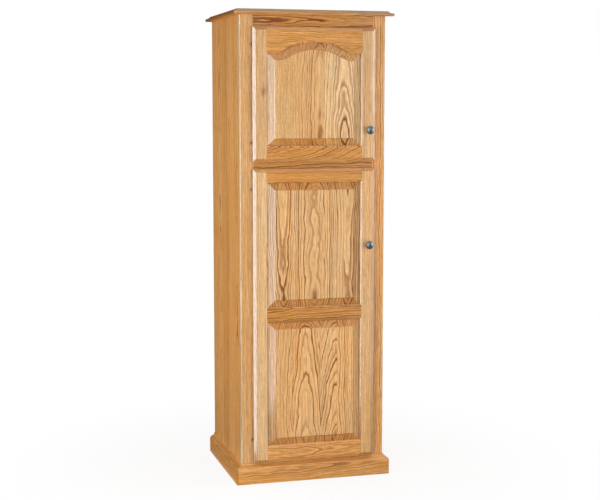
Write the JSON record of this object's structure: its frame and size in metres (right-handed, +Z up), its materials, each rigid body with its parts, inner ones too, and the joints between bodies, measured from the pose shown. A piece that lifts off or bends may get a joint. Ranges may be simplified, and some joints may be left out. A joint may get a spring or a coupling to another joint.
{
  "type": "pantry cabinet",
  "caption": "Tall free-standing oak pantry cabinet with stacked raised-panel doors, adjustable shelves, a moulded top and a base moulding.",
  "frame": {"origin": "on the floor, at the middle of the bounding box in plan", "axes": "+Z up, -Y out of the front where the doors are, +X to the right as seen from the front"},
  "size_m": [0.635, 0.553, 1.829],
  "materials": {
    "oak_outside": "satin clear lacquer over golden stain, open grain",
    "oak_panel": "satin clear lacquer over golden stain, open grain",
    "oak_inside": "thin clear lacquer",
    "knob_pewter": "satin pewter",
    "hinge_steel": "dull nickel plate",
    "screw_steel": "zinc plate",
    "plated_steel": "nickel plate",
    "catch_plastic": "moulded, fine texture",
    "bumper": "soft, dull"
  },
  "bodies": {
    "cabinet": {"back_panel": "oak_inside", "base_front": "oak_outside", "base_left": "oak_outside", "base_right": "oak_outside", "catch_poles": "plated_steel", "deck": "oak_inside", "divider": "oak_inside", "frame_rail_bottom": "oak_outside", "frame_rail_middle": "oak_outside", "frame_rail_top": "oak_outside", "frame_screws": "screw_steel", "frame_stile_left": "oak_outside", "frame_stile_right": "oak_outside", "glue_blocks": "oak_inside", "hinge_pins": "hinge_steel", "lower_catch_case": "catch_plastic", "lower_door_hinge_bottom_frame_leaf": "hinge_steel", "lower_door_hinge_top_frame_leaf": "hinge_steel", "lower_shelf_1": "oak_inside", "lower_shelf_2": "oak_inside", "lower_shelf_3": "oak_inside", "shelf_pins": "plated_steel", "side_left": "oak_outside", "side_right": "oak_outside", "stretcher_back": "oak_inside", "stretcher_front": "oak_inside", "top_board": "oak_outside", "top_screws": "screw_steel", "upper_catch_case": "catch_plastic", "upper_door_hinge_bottom_frame_leaf": "hinge_steel", "upper_door_hinge_top_frame_leaf": "hinge_steel", "upper_shelf_1": "oak_inside"},
    "upper_door": {"upper_door_bumpers": "bumper", "upper_door_hinge_bottom_door_leaf": "hinge_steel", "upper_door_hinge_top_door_leaf": "hinge_steel", "upper_door_knob": "knob_pewter", "upper_door_knob_screw": "screw_steel", "upper_door_panel": "oak_panel", "upper_door_rail_bottom": "oak_outside", "upper_door_rail_top": "oak_outside", "upper_door_screws": "screw_steel", "upper_door_stile_left": "oak_outside", "upper_door_stile_right": "oak_outside", "upper_door_strike": "plated_steel"},
    "lower_door": {"lower_door_bumpers": "bumper", "lower_door_hinge_bottom_door_leaf": "hinge_steel", "lower_door_hinge_top_door_leaf": "hinge_steel", "lower_door_knob": "knob_pewter", "lower_door_knob_screw": "screw_steel", "lower_door_panel_bottom": "oak_panel", "lower_door_panel_middle": "oak_panel", "lower_door_rail_bottom": "oak_outside", "lower_door_rail_middle": "oak_outside", "lower_door_rail_top": "oak_outside", "lower_door_screws": "screw_steel", "lower_door_stile_left": "oak_outside", "lower_door_stile_right": "oak_outside", "lower_door_strike": "plated_steel"}
  },
  "joints": [
    {"name": "upper_door_hinge", "type": "hinge", "parent": "cabinet", "child": "upper_door", "pos_m": [-0.2476, -0.2322, 1.5085], "axis": [0, 0, -1], "range_deg": [0, 110]},
    {"name": "lower_door_hinge", "type": "hinge", "parent": "cabinet", "child": "lower_door", "pos_m": [-0.2476, -0.2322, 0.654], "axis": [0, 0, -1], "range_deg": [0, 110]}
  ]
}
